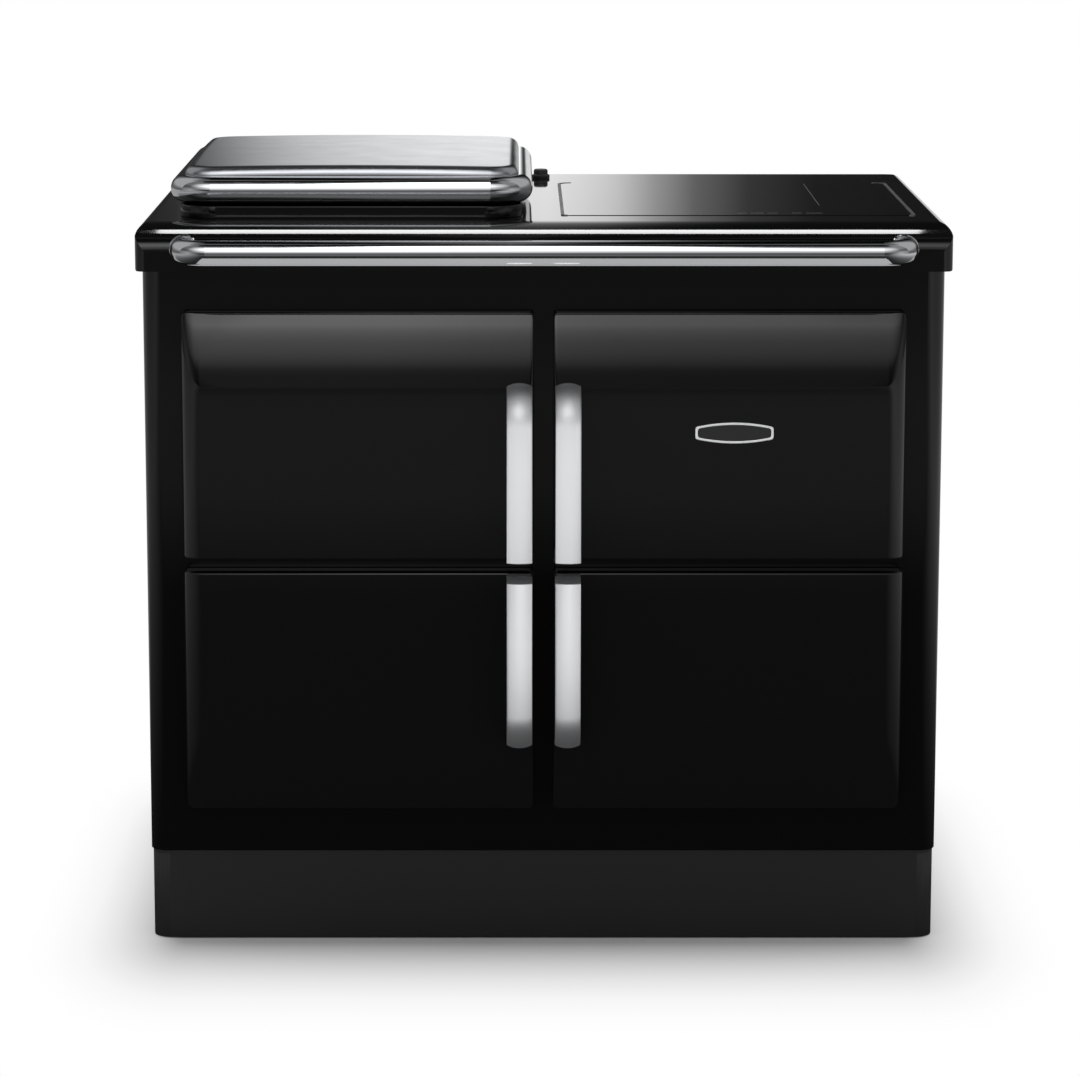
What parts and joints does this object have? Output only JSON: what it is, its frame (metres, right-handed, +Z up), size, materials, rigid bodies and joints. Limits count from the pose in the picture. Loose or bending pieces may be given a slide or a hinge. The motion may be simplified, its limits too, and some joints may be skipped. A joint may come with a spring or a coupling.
{
  "type": "cast iron range cooker",
  "caption": "Range cooker in gloss black enamel with crowned cast doors, chrome strap handles and handrail, lidded hotplate and glass hob.",
  "frame": {"origin": "on the floor, under the middle of the whole cooker with its handrail", "axes": "+X to the right seen from the front, +Y towards the back, +Z up"},
  "size_m": [0.987, 0.71, 0.966],
  "materials": {
    "vitreous_enamel": "gloss black vitreous enamel",
    "plinth_paint": "satin dark grey powder coat",
    "chrome_plate": "polished chrome plate",
    "polished_steel": "polished stainless steel",
    "galvanised_steel": "galvanised sheet steel",
    "cast_iron": "machined and matt enamelled cast iron",
    "aluminium": "pressed aluminium",
    "hob_glass": "black glass ceramic",
    "shelf_wire": "bright plated wire",
    "seal_rope": "braided glass fibre rope",
    "dark_steel": "black painted sheet steel",
    "black_plastic": "moulded heat resisting plastic",
    "knob_metal": "satin chrome",
    "mineral_wool_slab": "rigid pressed mineral wool slab",
    "sheathed_element": "oxidised steel sheath",
    "copper": "enamelled copper coil"
  },
  "bodies": {
    "cooker": {"levelling_feet": "galvanised_steel", "plinth_front": "plinth_paint", "plinth_sides": "plinth_paint", "base_tray": "plinth_paint", "side_panel_left": "vitreous_enamel", "side_panel_right": "vitreous_enamel", "back_panel": "galvanised_steel", "back_screws": "galvanised_steel", "front_plate": "vitreous_enamel", "top_plate": "vitreous_enamel", "insulation_boards": "mineral_wool_slab", "oven_elements": "sheathed_element", "roasting_oven": "cast_iron", "simmering_oven": "cast_iron", "slow_oven": "cast_iron", "roasting_shelf": "shelf_wire", "simmering_shelf": "shelf_wire", "slow_shelf": "shelf_wire", "control_compartment": "dark_steel", "control_panel": "aluminium", "control_module": "dark_steel", "hotplate": "cast_iron", "hotplate_element": "sheathed_element", "hotplate_surround": "vitreous_enamel", "glass_hob": "hob_glass", "hob_trims": "chrome_plate", "induction_coils": "copper", "coil_tray": "aluminium", "handrail": "chrome_plate", "rail_collars": "chrome_plate", "door_hinge_lugs": "galvanised_steel", "door_catches": "galvanised_steel", "lid_hinge_posts": "chrome_plate", "terminal_box": "black_plastic", "cable_gland": "black_plastic", "vent_cap": "black_plastic"},
    "lid": {"lid_frame": "chrome_plate", "lid_panel": "polished_steel", "lid_insulation": "mineral_wool_slab", "lid_liner": "aluminium", "lid_hinge_arms": "chrome_plate"},
    "upper_left_door": {"upper_left_casting": "vitreous_enamel", "upper_left_liner": "aluminium", "upper_left_seal": "seal_rope", "upper_left_handle": "chrome_plate"},
    "upper_right_door": {"upper_right_casting": "vitreous_enamel", "upper_right_liner": "aluminium", "upper_right_seal": "seal_rope", "upper_right_handle": "chrome_plate"},
    "lower_left_door": {"lower_left_casting": "vitreous_enamel", "lower_left_liner": "aluminium", "lower_left_seal": "seal_rope", "lower_left_handle": "chrome_plate"},
    "lower_right_door": {"lower_right_casting": "vitreous_enamel", "lower_right_liner": "aluminium", "lower_right_seal": "seal_rope", "lower_right_handle": "chrome_plate"},
    "knob_1": {"knob_1": "knob_metal"},
    "knob_2": {"knob_2": "knob_metal"},
    "knob_3": {"knob_3": "knob_metal"}
  },
  "joints": [
    {"name": "upper_left_door_hinge", "type": "hinge", "parent": "cooker", "child": "upper_left_door", "pos_m": [-0.434, -0.258, 0.642], "axis": [0, 0, -1], "range_deg": [0, 100]},
    {"name": "upper_right_door_hinge", "type": "hinge", "parent": "cooker", "child": "upper_right_door", "pos_m": [0.434, -0.258, 0.642], "axis": [0, 0, 1], "range_deg": [0, 100]},
    {"name": "lower_left_door_hinge", "type": "hinge", "parent": "cooker", "child": "lower_left_door", "pos_m": [-0.434, -0.258, 0.323], "axis": [0, 0, -1], "range_deg": [0, 100]},
    {"name": "lower_right_door_hinge", "type": "hinge", "parent": "cooker", "child": "lower_right_door", "pos_m": [0.434, -0.258, 0.323], "axis": [0, 0, 1], "range_deg": [0, 100]},
    {"name": "lid_hinge", "type": "hinge", "parent": "cooker", "child": "lid", "pos_m": [-0.2365, 0.293, 0.925], "axis": [-1, 0, 0], "range_deg": [0, 92]},
    {"name": "knob_1_turn", "type": "hinge", "parent": "cooker", "child": "knob_1", "pos_m": [0.137, -0.1356, 0.651], "axis": [0, 1, 0], "range_deg": [0, 270]},
    {"name": "knob_2_turn", "type": "hinge", "parent": "cooker", "child": "knob_2", "pos_m": [0.227, -0.1356, 0.651], "axis": [0, 1, 0], "range_deg": [0, 270]},
    {"name": "knob_3_turn", "type": "hinge", "parent": "cooker", "child": "knob_3", "pos_m": [0.317, -0.1356, 0.651], "axis": [0, 1, 0], "range_deg": [0, 270]}
  ]
}
